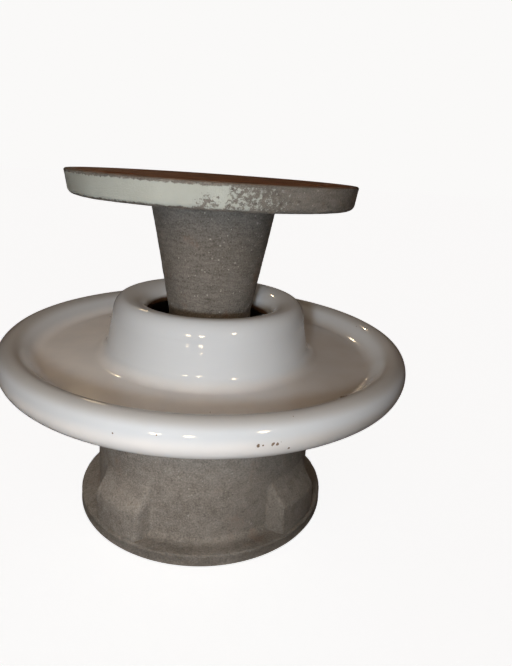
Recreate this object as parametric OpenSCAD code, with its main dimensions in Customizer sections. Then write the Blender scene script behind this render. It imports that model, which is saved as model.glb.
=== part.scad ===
// Cap and pin porcelain insulator, standing on its iron cap with the pin flange up.
// Z = 0 is the mounting face of the cap, and Z is the axis of every turned shape.

/* [Overall] */
// Height from the cap's mounting face to the pin flange's mounting face
total_h = 190.5; // [155:0.5:240]
// Diameter of the porcelain shed over its rim
shed_d = 227.6; // [185:0.2:280]

/* [Mounting holes] */
// Bolt circle of the cap and of the pin flange
bolt_circle_d = 127; // [115:0.5:135]
// Number of holes at each end
hole_count = 4; // [3:1:6]
// Angle of the first hole from +X, degrees
first_hole_angle = 45; // [0:5:90]
// Clearance hole through the pin flange
flange_hole_d = 14.3; // [10:0.1:17]
// Drilled diameter of the tapped holes in the cap
tap_d = 10.7; // [8:0.1:13.5]
// Depth of the tapped holes
tap_depth = 16; // [12:0.5:22]

/* [Pin] */
// Diameter of the pin flange
flange_d = 152.4; // [146:0.2:190]
// Thickness of the pin flange
flange_t = 11.7; // [8:0.1:18]
// Radius of the flange's lower edge
flange_edge_r = 3; // [1:0.5:4]
// Diameter of the neck where it meets the flange
neck_d = 66.6; // [58:0.2:84]
// Fillet between the neck and the flange
neck_fillet = 6; // [2:0.5:10]
// Draft of the flange's edge, as the growth of its radius from bottom to top
flange_draft = 1; // [0:0.1:2]
// Chamfer around the flange's mounting face
flange_chamfer = 0.6; // [0.2:0.1:1.5]
// Distance from the collar's top down to where the tapered neck becomes the straight stem
neck_end_drop = 7.3; // [3:0.1:12]
// Diameter of the stem that is cemented into the porcelain
stem_d = 47; // [38:0.2:57]
// Depth of the rings turned into the stem to key the cement
stem_key_depth = 2; // [0.5:0.1:3]
// Distance between the stem's rings
stem_key_pitch = 9; // [6:0.5:11]
// Plain length of the stem below its first ring
stem_key_start = 6; // [3:0.5:10]
// Least distance from the last ring up to the cement's face
stem_key_end = 8; // [4:0.5:12]

/* [Cap] */
// Diameter of the cap's mounting pad
pad_d = 150; // [146:0.2:190]
// Thickness of the pad at its edge
pad_t = 7; // [4:0.5:12]
// Chamfer around the pad's mounting face
pad_low_chamfer = 0.8; // [0.2:0.1:1.5]
// Chamfer around the pad's upper edge
pad_top_chamfer = 1; // [0.2:0.1:1.5]
// Height of the cap
cap_h = 68; // [54:0.5:84]
// Wall of the cap around the cement
cap_wall = 7.5; // [6:0.5:12]
// Iron left above the end of each tapped hole
tap_end_wall = 3; // [2:0.5:6]
// Fillet between the cap's wall and the pad
cap_foot_fillet = 4; // [2:0.5:6]
// Rounding of the cap's open edge
cap_lip_r = 2.5; // [1:0.5:3]
// Width of each bolt boss
boss_w = 34; // [26:0.5:42]
// Height of a boss at its outer face
boss_h = 25; // [20:0.5:30]
// Rise of a boss's sloping top from its outer face to the wall
boss_rise = 9; // [4:0.5:12]
// Distance from the pad's edge in to a boss's outer face
boss_inset = 1.5; // [0.5:0.5:3]
// Rounding of a boss's upright corners
boss_corner_r = 4; // [2:0.5:6]
// Chamfer between a boss's outer face and its top
boss_chamfer = 2; // [0.5:0.5:4]
// Depth of the rings inside the cap that key the cement
cap_key_depth = 2; // [0.5:0.1:3]
// Distance between the cap's inner rings
cap_key_pitch = 10; // [7:0.5:12]
// Plain height of the cap's cavity above its rounded corner
cap_key_start = 1; // [0.5:0.5:4]
// Least distance from the cavity's last ring up to the cap's open edge
cap_key_end = 4; // [2:0.5:8]

/* [Porcelain] */
// Porcelain around the pin hole, in the head
head_wall = 14; // [10:0.5:20]
// Thickness of the crown under the pin
crown_t = 18; // [14:0.5:24]
// Rounding of the crown's edge
crown_round = 14; // [8:0.5:18]
// Rounding at the bottom of the pin hole
hole_corner_r = 6; // [3:0.5:10]
// Gap between the cap's open edge and the shed's root
cap_gap = 9.2; // [7:0.1:14]
// Thickness of the shed where it leaves the head
shed_root_t = 16; // [13:0.5:18]
// Rise of the shed's underside from its root to its rim
shed_rise = 7.8; // [4:0.1:10]
// Fillet between the head and the shed
shed_root_fillet = 6; // [3:0.5:8]
// Height of the rim's top above the dish floor
rim_h = 10.6; // [8:0.1:13]
// Width of the rim from its crest to its widest line
rim_out = 7.4; // [5:0.1:10]
// Width of the slope from the rim's crest down to the dish floor
rim_in = 15; // [12:0.5:20]
// Height of the collar above the dish floor
collar_h = 31.8; // [28:0.1:40]
// Growth of the collar's radius for each unit down its wall
collar_flare = 0.14; // [0:0.01:0.2]
// Fillet between the collar and the dish floor
collar_foot_r = 8; // [4:0.5:10]
// Width of the lip from its crest to the collar's wall
lip_out = 6; // [4:0.5:9]
// Width of the lip from its crest to the mouth
lip_in = 12.5; // [8:0.5:15]
// Height of the lip's outer rounding
lip_out_h = 5; // [3:0.5:8]
// Height of the lip's inner rounding
lip_in_h = 9; // [5:0.5:12]
// Extra radius of the mouth over the pin hole
mouth_step = 2.5; // [1:0.5:4]

/* [Joints] */
// Thickness of the bitumen coat on the cap and on the pin
coat_t = 0.6; // [0.4:0.1:1]
// Height of the bitumen that shows above the pin's cement
pin_coat_show = 3; // [1:0.5:5]
// Thickness of the fused grit bands on the porcelain
grit_t = 1.5; // [1:0.1:2.5]
// Plain porcelain between a grit band and the rounded corner next to it
grit_gap = 2; // [1:0.5:4]
// Distance from the top of a grit band up to the face of its cement
grit_drop = 4; // [2:0.5:6]
// Thickness of the cement between the pin and the grit
pin_cement_t = 7.4; // [5:0.1:10]
// Thickness of the cement between the grit and the cap
cap_cement_t = 5.4; // [4:0.1:8]
// Thickness of the cushion under the porcelain's crown
head_cushion_t = 3; // [2:0.5:5]
// Diameter of the cushion under the porcelain's crown
head_cushion_d = 58; // [40:1:62]
// Thickness of the cushion under the pin's end
pin_cushion_t = 4; // [2:0.5:6]
// Diameter of the cushion under the pin's end
pin_cushion_d = 38; // [28:1:40]
// Height of the pin cement's face above the level of the dish floor
pin_cement_rise = 4.8; // [2:0.1:7]
// Distance from the pin cement's face up to where the hole starts to widen
hole_top_rise = 2; // [1:0.5:4]
// Depth of the cap's cement below the cap's open edge
cap_cement_drop = 1.5; // [1:0.5:3]

/* [Hidden] */
$fn = 96;

// Degrees between two points of an arc, and points along one ring of a keyed wall
arc_step = 8;
steps_per_key = 8;
// How far a cut runs past the face it opens
past = 1;
// How far a boss reaches into the cap's wall
boss_root = cap_wall - 1;

// Radii, worked outwards from the pin's stem
stem_r = stem_d / 2;
hole_r = stem_r + coat_t + pin_cement_t + grit_t;
head_r = hole_r + head_wall;
cavity_r = head_r + grit_t + cap_cement_t + coat_t;
cap_r = cavity_r + cap_wall;
pad_r = pad_d / 2;
shed_r = shed_d / 2;
flange_r = flange_d / 2;
bolt_r = bolt_circle_d / 2;
neck_r = neck_d / 2;
head_cushion_r = head_cushion_d / 2;
pin_cushion_r = pin_cushion_d / 2;

mouth_r = hole_r + mouth_step;
lip_r = mouth_r + lip_in;
collar_r = lip_r + lip_out;
crest_r = shed_r - rim_out;

// Heights, worked upwards from the mounting face
cap_floor = tap_depth + tap_end_wall;
crown_z = cap_floor + coat_t + head_cushion_t;
hole_floor = crown_z + crown_t;
pin_end_z = hole_floor + pin_cushion_t;
cap_cement_z = cap_h - cap_cement_drop;
shed_root_z = cap_h + cap_gap;
dish_z = shed_root_z + shed_root_t;
rim_low = shed_root_z + shed_rise;
rim_top = dish_z + rim_h;
rim_mid = (rim_top + rim_low) / 2;
pin_cement_z = dish_z + pin_cement_rise;
pin_coat_top = pin_cement_z + pin_coat_show;
collar_top = dish_z + collar_h;
collar_wall_top = collar_top - lip_out_h;
neck_end_z = collar_top - neck_end_drop;
flange_z = total_h - flange_t;

// Keyed lengths of the stem and of the cap
stem_key_z = pin_end_z + stem_key_start;
stem_keys = floor((pin_cement_z - stem_key_end - stem_key_z) / stem_key_pitch);
cap_key_z = cap_floor + crown_round + cap_key_start;
cap_keys = floor((cap_h - cap_key_end - cap_key_z) / cap_key_pitch);

// Ends of the grit bands
head_band_low = crown_z + crown_round + grit_gap;
head_band_high = cap_cement_z - grit_drop;
hole_band_low = hole_floor + hole_corner_r + grit_gap;
hole_band_high = pin_cement_z - grit_drop;

// Points on an arc about c from angle a0 to a1, with half-axes rx and rz
function arc(c, rx, rz, a0, a1) =
    let (n = ceil(abs(a1 - a0) / arc_step))
    [for (i = [0:n]) c + [rx * cos(a0 + (a1 - a0) * i / n), rz * sin(a0 + (a1 - a0) * i / n)]];

// Depth of a wavy ring at the distance s along the keyed length
function wave(s, pitch, depth) = depth * (1 - cos(360 * s / pitch)) / 2;

// The stem's keyed side, from its lowest ring up, moved out by grow
function stem_side(grow) =
    [for (i = [0:stem_keys * steps_per_key])
        let (s = i * stem_key_pitch / steps_per_key)
        [stem_r + grow - wave(s, stem_key_pitch, stem_key_depth), stem_key_z + s]];

// The cap's inner side, from its floor up to the height top, moved in by shrink
function cavity_side(shrink, top) = concat(
    arc([cavity_r - crown_round, cap_floor + crown_round],
        crown_round - shrink, crown_round - shrink, -90, 0),
    [for (i = [0:cap_keys * steps_per_key])
        let (s = i * cap_key_pitch / steps_per_key)
        [cavity_r - shrink + wave(s, cap_key_pitch, cap_key_depth), cap_key_z + s]],
    [[cavity_r - shrink, top]]);

// The outside of the porcelain head, from the crown's flat face to its side
function head_side() = concat(
    [[0, crown_z]],
    arc([head_r - crown_round, crown_z + crown_round], crown_round, crown_round, -90, 0));

// The shed's underside and the outer half of its rim
function shed_outside() = concat(
    arc([head_r + shed_root_fillet, shed_root_z - shed_root_fillet],
        shed_root_fillet, shed_root_fillet, 180, 100),
    arc([crest_r, rim_mid], rim_out, (rim_top - rim_low) / 2, -90, 90));

// The slope from the rim's crest to the dish floor, half a cosine wave
function rim_slope() =
    [for (i = [1:12]) [crest_r - rim_in * i / 12, dish_z + rim_h * (1 + cos(180 * i / 12)) / 2]];

// Radius of the collar's outer wall at the height z
function collar_wall_r(z) = collar_r + collar_flare * (collar_wall_top - z);

// The collar from its foot, over its lip and down to the pin hole
function collar_side() = concat(
    arc([collar_wall_r(dish_z) + collar_foot_r, dish_z + collar_foot_r],
        collar_foot_r, collar_foot_r, 270, 188),
    arc([lip_r, collar_wall_top], lip_out, lip_out_h, 0, 90),
    arc([lip_r, collar_top - lip_in_h], lip_in, lip_in_h, 100, 180),
    [[hole_r, pin_cement_z + hole_top_rise]]);

// The pin hole's corner and its floor
function hole_end() = concat(
    arc([hole_r - hole_corner_r, hole_floor + hole_corner_r], hole_corner_r, hole_corner_r, 0, -90),
    [[0, hole_floor]]);

module turned(points) {
    rotate_extrude() polygon(points);
}

// Puts its children at each hole of the bolt circle
module at_holes(radius) {
    for (i = [0:hole_count - 1])
        rotate([0, 0, first_hole_angle + i * 360 / hole_count])
            translate([radius, 0, 0])
                children();
}

// A box with rounded upright edges, centred in Y and starting at x0
module upright_block(x0, x1, w, h, r) {
    translate([x0, -w / 2 + r, 0])
        cube([x1 - x0, w - 2 * r, h]);
    translate([x0, -w / 2, 0])
        cube([x1 - x0 - r, w, h]);
    for (side = [-1, 1])
        translate([x1 - r, side * (w / 2 - r), 0])
            cylinder(r = r, h = h);
}

module cap_boss() {
    inner_r = cap_r - boss_root;
    outer_r = pad_r - boss_inset;
    top_z = boss_h + boss_rise;
    intersection() {
        upright_block(inner_r, pad_r + past, boss_w, top_z, boss_corner_r);
        turned([[inner_r, 0], [outer_r, 0], [outer_r, boss_h - boss_chamfer],
                [outer_r - boss_chamfer, boss_h], [cap_r, top_z], [inner_r, top_z]]);
    }
}

module cap() {
    color("dimgray")
    difference() {
        union() {
            turned(concat(
                [[0, 0], [pad_r - pad_low_chamfer, 0], [pad_r, pad_low_chamfer],
                 [pad_r, pad_t - pad_top_chamfer], [pad_r - pad_top_chamfer, pad_t]],
                arc([cap_r + cap_foot_fillet, pad_t + cap_foot_fillet],
                    cap_foot_fillet, cap_foot_fillet, 270, 180),
                arc([cap_r - cap_lip_r, cap_h - cap_lip_r], cap_lip_r, cap_lip_r, 0, 90),
                [[0, cap_h]]));
            for (i = [0:hole_count - 1])
                rotate([0, 0, first_hole_angle + i * 360 / hole_count])
                    cap_boss();
        }
        turned(concat([[0, cap_floor]], cavity_side(0, cap_h + past), [[0, cap_h + past]]));
        at_holes(bolt_r)
            translate([0, 0, -past])
                cylinder(d = tap_d, h = tap_depth + past);
    }
}

module cap_bitumen_coat() {
    color("black")
    difference() {
        turned(concat([[0, cap_floor]], cavity_side(0, cap_cement_z), [[0, cap_cement_z]]));
        turned(concat([[0, cap_floor + coat_t]], cavity_side(coat_t, cap_cement_z + past),
                      [[0, cap_cement_z + past]]));
    }
}

module cap_cement() {
    color("darkgray")
    difference() {
        turned(concat([[0, cap_floor + coat_t]], cavity_side(coat_t, cap_cement_z),
                      [[0, cap_cement_z]]));
        turned(concat(head_side(),
                      [[head_r, head_band_low], [head_r + grit_t, head_band_low],
                       [head_r + grit_t, head_band_high], [head_r, head_band_high],
                       [head_r, cap_cement_z + past], [0, cap_cement_z + past]]));
        translate([0, 0, cap_floor])
            cylinder(r = head_cushion_r, h = coat_t + head_cushion_t + past);
    }
}

module head_cushion() {
    color("peru")
    translate([0, 0, cap_floor + coat_t])
        cylinder(r = head_cushion_r, h = head_cushion_t);
}

module head_sand_band() {
    color("gainsboro")
    turned([[head_r, head_band_low], [head_r + grit_t, head_band_low],
            [head_r + grit_t, head_band_high], [head_r, head_band_high]]);
}

module porcelain_shell() {
    color("whitesmoke")
    turned(concat(head_side(), shed_outside(), rim_slope(), collar_side(), hole_end()));
}

module pin_hole_sand_band() {
    color("gainsboro")
    turned([[hole_r - grit_t, hole_band_low], [hole_r, hole_band_low],
            [hole_r, hole_band_high], [hole_r - grit_t, hole_band_high]]);
}

module pin_cement() {
    color("darkgray")
    difference() {
        turned(concat([[0, pin_cement_z], [hole_r, pin_cement_z],
                       [hole_r, hole_band_high], [hole_r - grit_t, hole_band_high],
                       [hole_r - grit_t, hole_band_low], [hole_r, hole_band_low]],
                      hole_end()));
        turned(concat([[0, pin_end_z], [stem_r + coat_t, pin_end_z]], stem_side(coat_t),
                      [[stem_r + coat_t, pin_cement_z + past], [0, pin_cement_z + past]]));
        translate([0, 0, hole_floor - past])
            cylinder(r = pin_cushion_r, h = pin_cushion_t + 2 * past);
    }
}

module pin_bitumen_coat() {
    color("black")
    difference() {
        turned(concat([[0, pin_end_z], [stem_r + coat_t, pin_end_z]], stem_side(coat_t),
                      [[stem_r + coat_t, pin_coat_top], [0, pin_coat_top]]));
        turned(concat([[0, pin_end_z - past], [stem_r, pin_end_z - past]], stem_side(0),
                      [[stem_r, pin_coat_top + past], [0, pin_coat_top + past]]));
    }
}

module pin_end_cushion() {
    color("peru")
    translate([0, 0, hole_floor])
        cylinder(r = pin_cushion_r, h = pin_cushion_t);
}

module pin() {
    color("gray")
    difference() {
        turned(concat([[0, pin_end_z], [stem_r, pin_end_z]], stem_side(0),
                      [[stem_r, neck_end_z]],
                      arc([neck_r + neck_fillet, flange_z - neck_fillet],
                          neck_fillet, neck_fillet, 171, 90),
                      arc([flange_r - flange_draft - flange_edge_r, flange_z + flange_edge_r],
                          flange_edge_r, flange_edge_r, -90, -5),
                      [[flange_r, total_h - flange_chamfer], [flange_r - flange_chamfer, total_h],
                       [0, total_h]]));
        at_holes(bolt_r)
            translate([0, 0, flange_z - past])
                cylinder(d = flange_hole_d, h = flange_t + 2 * past);
    }
}

cap();
cap_bitumen_coat();
cap_cement();
head_cushion();
head_sand_band();
porcelain_shell();
pin_hole_sand_band();
pin_cement();
pin_bitumen_coat();
pin_end_cushion();
pin();
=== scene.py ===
# %% [markdown]
# # A cap and pin insulator
# An iron cap, a dish of glazed porcelain and an iron pin, cemented together. It stands on its cap, so the
# dished underside of the porcelain faces up and the pin's flange is on top.
# The CAD model already gives every size and place, so the first step loads it, and everything made later
# takes its place from it. The iron and the porcelain are made again here as finer surfaces, because a
# casting has a rough skin and a glaze has soft waves, and neither is worth drawing in CAD. The cement, the
# bitumen and the cork keep their CAD shapes and only get a finish.

# %% Load the frame
import math
import bmesh
import bpy
import numpy as np
from mathutils import Matrix, Vector


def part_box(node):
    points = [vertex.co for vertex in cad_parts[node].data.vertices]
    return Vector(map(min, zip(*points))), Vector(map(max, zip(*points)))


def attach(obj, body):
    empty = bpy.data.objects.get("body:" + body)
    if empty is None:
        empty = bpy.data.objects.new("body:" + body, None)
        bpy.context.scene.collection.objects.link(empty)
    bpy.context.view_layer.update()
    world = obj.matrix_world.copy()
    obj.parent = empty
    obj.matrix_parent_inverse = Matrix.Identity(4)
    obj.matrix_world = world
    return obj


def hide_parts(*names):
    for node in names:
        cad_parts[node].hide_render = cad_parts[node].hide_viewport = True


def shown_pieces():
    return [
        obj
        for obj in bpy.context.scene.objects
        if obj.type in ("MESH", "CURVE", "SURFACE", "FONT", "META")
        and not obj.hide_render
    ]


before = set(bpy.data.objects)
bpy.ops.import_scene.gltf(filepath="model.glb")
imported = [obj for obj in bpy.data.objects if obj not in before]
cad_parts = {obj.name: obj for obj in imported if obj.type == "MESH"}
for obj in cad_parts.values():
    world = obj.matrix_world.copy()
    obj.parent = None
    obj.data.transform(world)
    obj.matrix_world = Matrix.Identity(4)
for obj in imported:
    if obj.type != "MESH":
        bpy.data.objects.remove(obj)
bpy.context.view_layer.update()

# %% [markdown]
# ## Reading sizes from the frame
# Blender works in metres and a workshop in millimetres, so lengths are kept in millimetres and turned once,
# when a mesh is made. Every node here is round, so its box gives all that a profile needs: the outer radius
# and the lowest and highest height.

# %% Radius and heights of the nodes
MM = 0.001


def reach(node):
    """Outer radius, lowest height and highest height of a node, in mm."""
    low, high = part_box(node)
    return high[0] / MM, low[2] / MM, high[2] / MM


pad_r, _, cap_top = reach("cap")
shed_r, crown_z, collar_top = reach("porcelain_shell")
flange_r, pin_end, pin_top = reach("pin")
hole_r, hole_floor, pin_cement_top = reach("pin_cement")
coat_r, _, _ = reach("pin_bitumen_coat")
cement_r, _, _ = reach("cap_cement")
_, cushion_low, _ = reach("head_cushion")
grit_r, _, _ = reach("head_sand_band")
coat_t = 0.6
grit_t = 1.5
stem_r = coat_r - coat_t
cavity_r = cement_r + coat_t
cavity_floor = cushion_low - coat_t
head_r = grit_r - grit_t
print(f"stem {stem_r:.1f}, pin hole {hole_r:.1f}, head {head_r:.1f}, cap cavity {cavity_r:.1f} mm in radius")

# %% [markdown]
# ## Profiles
# A turned shape is a profile carried round an axis. The profile is a row of points (radius, height), and it
# is made of only two things: straight lines, and parts of ellipses where an edge or a corner is rounded.
# Each is cut into steps of a chosen length, short where the surface is seen and long where it is buried.

# %% Lines, bows and turning
FINE = 1.0
COARSE = 4.0


def straight(start, end, step=FINE):
    """Points from start to end, in equal steps close to the length asked for."""
    start, end = np.array(start, float), np.array(end, float)
    count = max(1, round(np.linalg.norm(end - start) / step))
    return np.linspace(start, end, count + 1)


def bow(centre, half_r, half_z, first, last, step=FINE):
    """Part of an ellipse: centre plus half_r times the cosine and half_z times the sine of an angle that
    goes from first to last, in degrees."""
    count = max(3, round(math.radians(abs(last - first)) * max(half_r, half_z) / step))
    angle = np.radians(np.linspace(first, last, count + 1))
    return np.column_stack([centre[0] + half_r * np.cos(angle), centre[1] + half_z * np.sin(angle)])


def angles(around):
    """Angles of a full turn in equal steps, with both ends, which are merged later."""
    return np.linspace(0, 2 * np.pi, around + 1)


def turned(profile, around):
    """A grid of points: each row is one point of the profile taken round the axis, as radius times cosine,
    radius times sine, and height."""
    r, z = np.concatenate(profile).T
    a = angles(around)
    return np.stack([np.outer(r, np.cos(a)), np.outer(r, np.sin(a)), np.outer(z, np.ones_like(a))], axis=-1)


# %% [markdown]
# ## From grids to a closed mesh
# Every surface below is a grid of points. The grids of one piece share their edges exactly, so after
# merging equal points the piece is one closed skin. Its faces are then turned outwards, and the count of
# edges that don't join two faces is printed: it has to be nought.
# A casting's skin or a glaze's waves are added last, by moving each point along its normal. That works on
# any shape, because it asks only where the point is.

# %% Meshes from grids
MERGE = 0.002
SLIVER = 0.001


def faces_of(rows, columns, first):
    """Corner numbers of the quads of one grid whose points are counted from first."""
    number = first + np.arange(rows * columns).reshape(rows, columns)
    quads = [number[:-1, :-1], number[:-1, 1:], number[1:, 1:], number[1:, :-1]]
    return np.stack(quads, axis=-1).reshape(-1, 4)


def make_piece(name, grids, relief=None, crease=40):
    """A closed mesh object from grids in mm, with relief(points) in mm raised along the normals. Edges that
    bend by more than crease degrees stay sharp."""
    first, points, faces = 0, [], []
    for grid in grids:
        points.append(grid.reshape(-1, 3))
        faces.append(faces_of(*grid.shape[:2], first))
        first += len(points[-1])
    mesh = bpy.data.meshes.new(name)
    mesh.from_pydata((np.concatenate(points) * MM).tolist(), [], np.concatenate(faces).tolist())
    skin = bmesh.new()
    skin.from_mesh(mesh)
    bmesh.ops.remove_doubles(skin, verts=skin.verts, dist=MERGE * MM)
    bmesh.ops.dissolve_degenerate(skin, edges=skin.edges, dist=SLIVER * MM)
    bmesh.ops.recalc_face_normals(skin, faces=skin.faces)
    open_edges = sum(not e.is_manifold for e in skin.edges)
    skin.to_mesh(mesh)
    skin.free()
    if relief:
        place = np.empty(len(mesh.vertices) * 3, np.float32)
        normal = np.empty_like(place)
        mesh.vertices.foreach_get("co", place)
        mesh.vertex_normals.foreach_get("vector", normal)
        place, normal = place.reshape(-1, 3), normal.reshape(-1, 3)
        place = place + normal * (relief(place / MM) * MM)[:, None]
        mesh.vertices.foreach_set("co", place.astype(np.float32).ravel())
    mesh.shade_smooth()
    mesh.set_sharp_from_angle(angle=math.radians(crease))
    mesh.update()
    piece = bpy.data.objects.new(name, mesh)
    bpy.context.scene.collection.objects.link(piece)
    mesh.calc_loop_triangles()
    print(f"{name}: {len(mesh.loop_triangles)} triangles, {open_edges} open edges")
    return piece


# %% [markdown]
# ## Lumps
# Sand leaves lumps of every size on iron, and a glaze settles in slow waves. Both are made from one
# function: random numbers stand on a lattice, and between them the value is blended smoothly. The lattice
# step is the size of the lumps. The numbers are seeded, so every run gives the same surface.

# %% Smooth random lumps
def lumps(points, size, seed):
    """Values from -1 to 1. Around each point stand the 8 random numbers of its lattice cell, and each counts
    by the product of s*s*(3-2*s) along X, Y and Z, where s is the place within the cell."""
    count = 48
    table = np.random.default_rng(seed).uniform(-1, 1, (count, count, count))
    cell = points / size
    low = np.floor(cell).astype(int)
    share = cell - low
    share = share * share * (3 - 2 * share)
    total = np.zeros(len(points))
    for corner in np.ndindex(2, 2, 2):
        weight = np.prod(np.where(corner, share, 1 - share), axis=1)
        x, y, z = ((low + corner) % count).T
        total += weight * table[x, y, z]
    return total


def skin_of(points, layers):
    """The sum of several sizes of lumps. Each layer is a height in mm, a width in mm and a seed."""
    return sum(height * lumps(points, width, seed) for height, width, seed in layers)


def ramp(value, start, end):
    """0 below start, 1 above end, and smooth between. A relief is faded in or out with it over a few mm."""
    share = np.clip((value - start) / (end - start), 0, 1)
    return share * share * (3 - 2 * share)


# %% [markdown]
# ## The porcelain
# The real shell is one piece: a potter's wheel and a steel profile shape the wet clay, and it is dipped in
# glaze and fired standing on its head, which is why the head has no glaze. So it is one turned profile here
# too: the head inside the cap, the shed with its rolled rim, the dish, and the collar with its lip around
# the pin. Glaze flows before it sets. It rounds each edge and leaves slow waves of a few hundredths of a
# millimetre, which bend the reflections. Faint rings from the profile tool show on the collar.

# %% The porcelain shell
collar_h = 31.8
collar_flare = 0.14
collar_foot = 8
lip_out, lip_out_h = 6.7, 10
lip_in, lip_in_h = 12.5, 9
mouth_step = 2.5
shed_root_t = 16
shed_root_fillet = 6
shed_rise = 7.8
rim_out, rim_in, rim_h = 7.4, 15, 10.6
crown_round = 14
hole_corner = 6
hole_top_rise = 2

dish_z = collar_top - collar_h
shed_root_z = dish_z - shed_root_t
rim_low = shed_root_z + shed_rise
rim_top = dish_z + rim_h
rim_mid = (rim_top + rim_low) / 2
crest_r = shed_r - rim_out
lip_r = hole_r + mouth_step + lip_in
collar_wall_top = collar_top - lip_out_h
collar_foot_r = lip_r + lip_out + collar_flare * (collar_wall_top - dish_z)


def rim_slope(count=18):
    """The slope from the rim's crest down to the dish: half a cosine wave, rim_in wide and rim_h high."""
    share = np.linspace(0, 1, count + 1)
    return np.column_stack([crest_r - rim_in * share, dish_z + rim_h * (1 + np.cos(np.pi * share)) / 2])


def shell_profile():
    """From the middle of the crown, under the shed, over the rim, across the dish and over the collar, down
    to the middle of the pin hole's floor."""
    root = bow((head_r + shed_root_fillet, shed_root_z - shed_root_fillet),
               shed_root_fillet, shed_root_fillet, 180, 100)
    rim = bow((crest_r, rim_mid), rim_out, (rim_top - rim_low) / 2, -90, 90, 0.7)
    foot = bow((collar_foot_r + collar_foot, dish_z + collar_foot), collar_foot, collar_foot, 270, 188, 0.7)
    lip = bow((lip_r, collar_wall_top), lip_out, lip_out_h, 0, 90, 0.6)
    inner_lip = bow((lip_r, collar_top - lip_in_h), lip_in, lip_in_h, 90, 180, 0.7)
    mouth = inner_lip[-1]
    hole_top = (hole_r, pin_cement_top + hole_top_rise)
    corner = bow((hole_r - hole_corner, hole_floor + hole_corner), hole_corner, hole_corner, 0, -90, 2)
    crown = bow((head_r - crown_round, crown_z + crown_round), crown_round, crown_round, -90, 0, 2)
    return [straight((0, crown_z), crown[0], COARSE), crown, straight(crown[-1], root[0], COARSE), root,
            straight(root[-1], rim[0], 1.5), rim, rim_slope(), straight(rim_slope()[-1], foot[0]), foot,
            straight(foot[-1], lip[0]), lip, inner_lip, straight(mouth, hole_top, 2),
            straight(hole_top, corner[0], COARSE), corner, straight(corner[-1], (0, hole_floor), COARSE)]


GLAZE_WAVES = [(0.10, 34, 1), (0.035, 13, 2)]
glaze_sink = 0.1
ring_h, ring_pitch = 0.012, 3.6
ring_wander, wander_w = 1.5, 40


def glaze_relief(points):
    """Slow waves all over the glazed part, and faint turning rings on the collar's wall: a sine of the
    height, whose phase wanders. Nothing moves where cement or the cap touches the porcelain. The glaze is
    sunk by about the height of its waves, so that it doesn't grow past the CAD box."""
    r, z = np.hypot(points[:, 0], points[:, 1]), points[:, 2]
    glazed = ramp(z, shed_root_z - 4, shed_root_z + 1) * ramp(r, hole_r + 0.5, hole_r + 3)
    wall = ramp(z, dish_z + 6, dish_z + 12) * (1 - ramp(z, collar_top - 9, collar_top - 5)) * (r > lip_r)
    rings = ring_h * np.sin(2 * np.pi * z / ring_pitch + ring_wander * lumps(points, wander_w, 3)) * wall
    return glazed * (skin_of(points, GLAZE_WAVES) + rings - glaze_sink)


SHELL_AROUND = 352
porcelain = make_piece("porcelain", [turned(shell_profile(), SHELL_AROUND)], glaze_relief)
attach(porcelain, "root")
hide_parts("porcelain_shell")

# %% [markdown]
# ## A face with bolt holes
# A turned grid can't have a hole in it, so a flat face with four holes is cut into four quarters, one
# around each hole. Straight rows run from the hole's edge to the quarter's edge, all aimed at the hole's
# middle, so a quarter is again a plain grid: place along the edge, and step outwards. Neighbours share
# their edge points. This works as long as no row crosses the quarter's inner arc, which holds while that
# arc is under cos 45 of the bolt circle's radius.

# %% Quarters around the holes
bolt_r = 63.5
QUARTER_TURNS = np.radians([45, 135, 225, 315])
row_growth = 1.3


def quarter_edge(inner, outer, around):
    """Points once round a quarter that lies along +X: outer arc, edge inwards, inner arc (or the middle),
    edge outwards. The arcs have the same angles as the turned grids that they meet."""
    arc = np.linspace(-np.pi / 4, np.pi / 4, around // 4 + 1)
    side = np.linspace(outer, inner, max(6, round((outer - inner) / 2.5)) + 1)[1:-1]
    ray = np.array([math.cos(math.pi / 4), math.sin(math.pi / 4)])
    out_arc = outer * np.column_stack([np.cos(arc), np.sin(arc)])
    in_arc = inner * np.column_stack([np.cos(arc), np.sin(arc)])[::-1] if inner else np.zeros((1, 2))
    low_ray = ray * (1, -1)
    return np.concatenate([out_arc, side[:, None] * ray, in_arc, side[::-1, None] * low_ray, out_arc[:1]])


def holed_face(inner, outer, z, hole, around, steps):
    """Four grids that fill the ring from inner to outer at height z, but for a hole in each quarter. Rows
    are closer near the hole: a share of the way, to the power row_growth. Also gives the directions of the
    rows from a hole's middle."""
    edge = quarter_edge(inner, outer, around)
    middle = np.array([bolt_r, 0.0])
    away = edge - middle
    way = away / np.linalg.norm(away, axis=1)[:, None]
    rim = middle + hole * way
    share = np.linspace(0, 1, steps + 1)[:, None, None] ** row_growth
    flat = rim + (edge - rim) * share
    grids = []
    for turn in QUARTER_TURNS:
        c, s = math.cos(turn), math.sin(turn)
        x, y = flat[..., 0] * c - flat[..., 1] * s, flat[..., 0] * s + flat[..., 1] * c
        grids.append(np.stack([x, y, np.full_like(x, z)], axis=-1))
    return grids, way


def hole_walls(way, rows):
    """The walls of the four holes. Each row is (radius, height) or (radii along the rim, height)."""
    grids = []
    for turn in QUARTER_TURNS:
        c, s = math.cos(turn), math.sin(turn)
        grid = []
        for radius, z in rows:
            x, y = (np.array([bolt_r, 0.0]) + way * np.reshape(radius, (-1, 1))).T
            grid.append(np.stack([x * c - y * s, x * s + y * c, np.full_like(x, z)], axis=-1))
        grids.append(np.array(grid))
    return grids


# %% [markdown]
# ## The pin
# One iron casting: a straight stem with rings that key it into the cement, a neck that tapers up, and a
# round flange. The flange's top is faced on a lathe and its holes are drilled; the rest is as it left the
# sand. So the relief leaves the top, the holes and the cemented stem alone, and is strongest on the neck.

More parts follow.
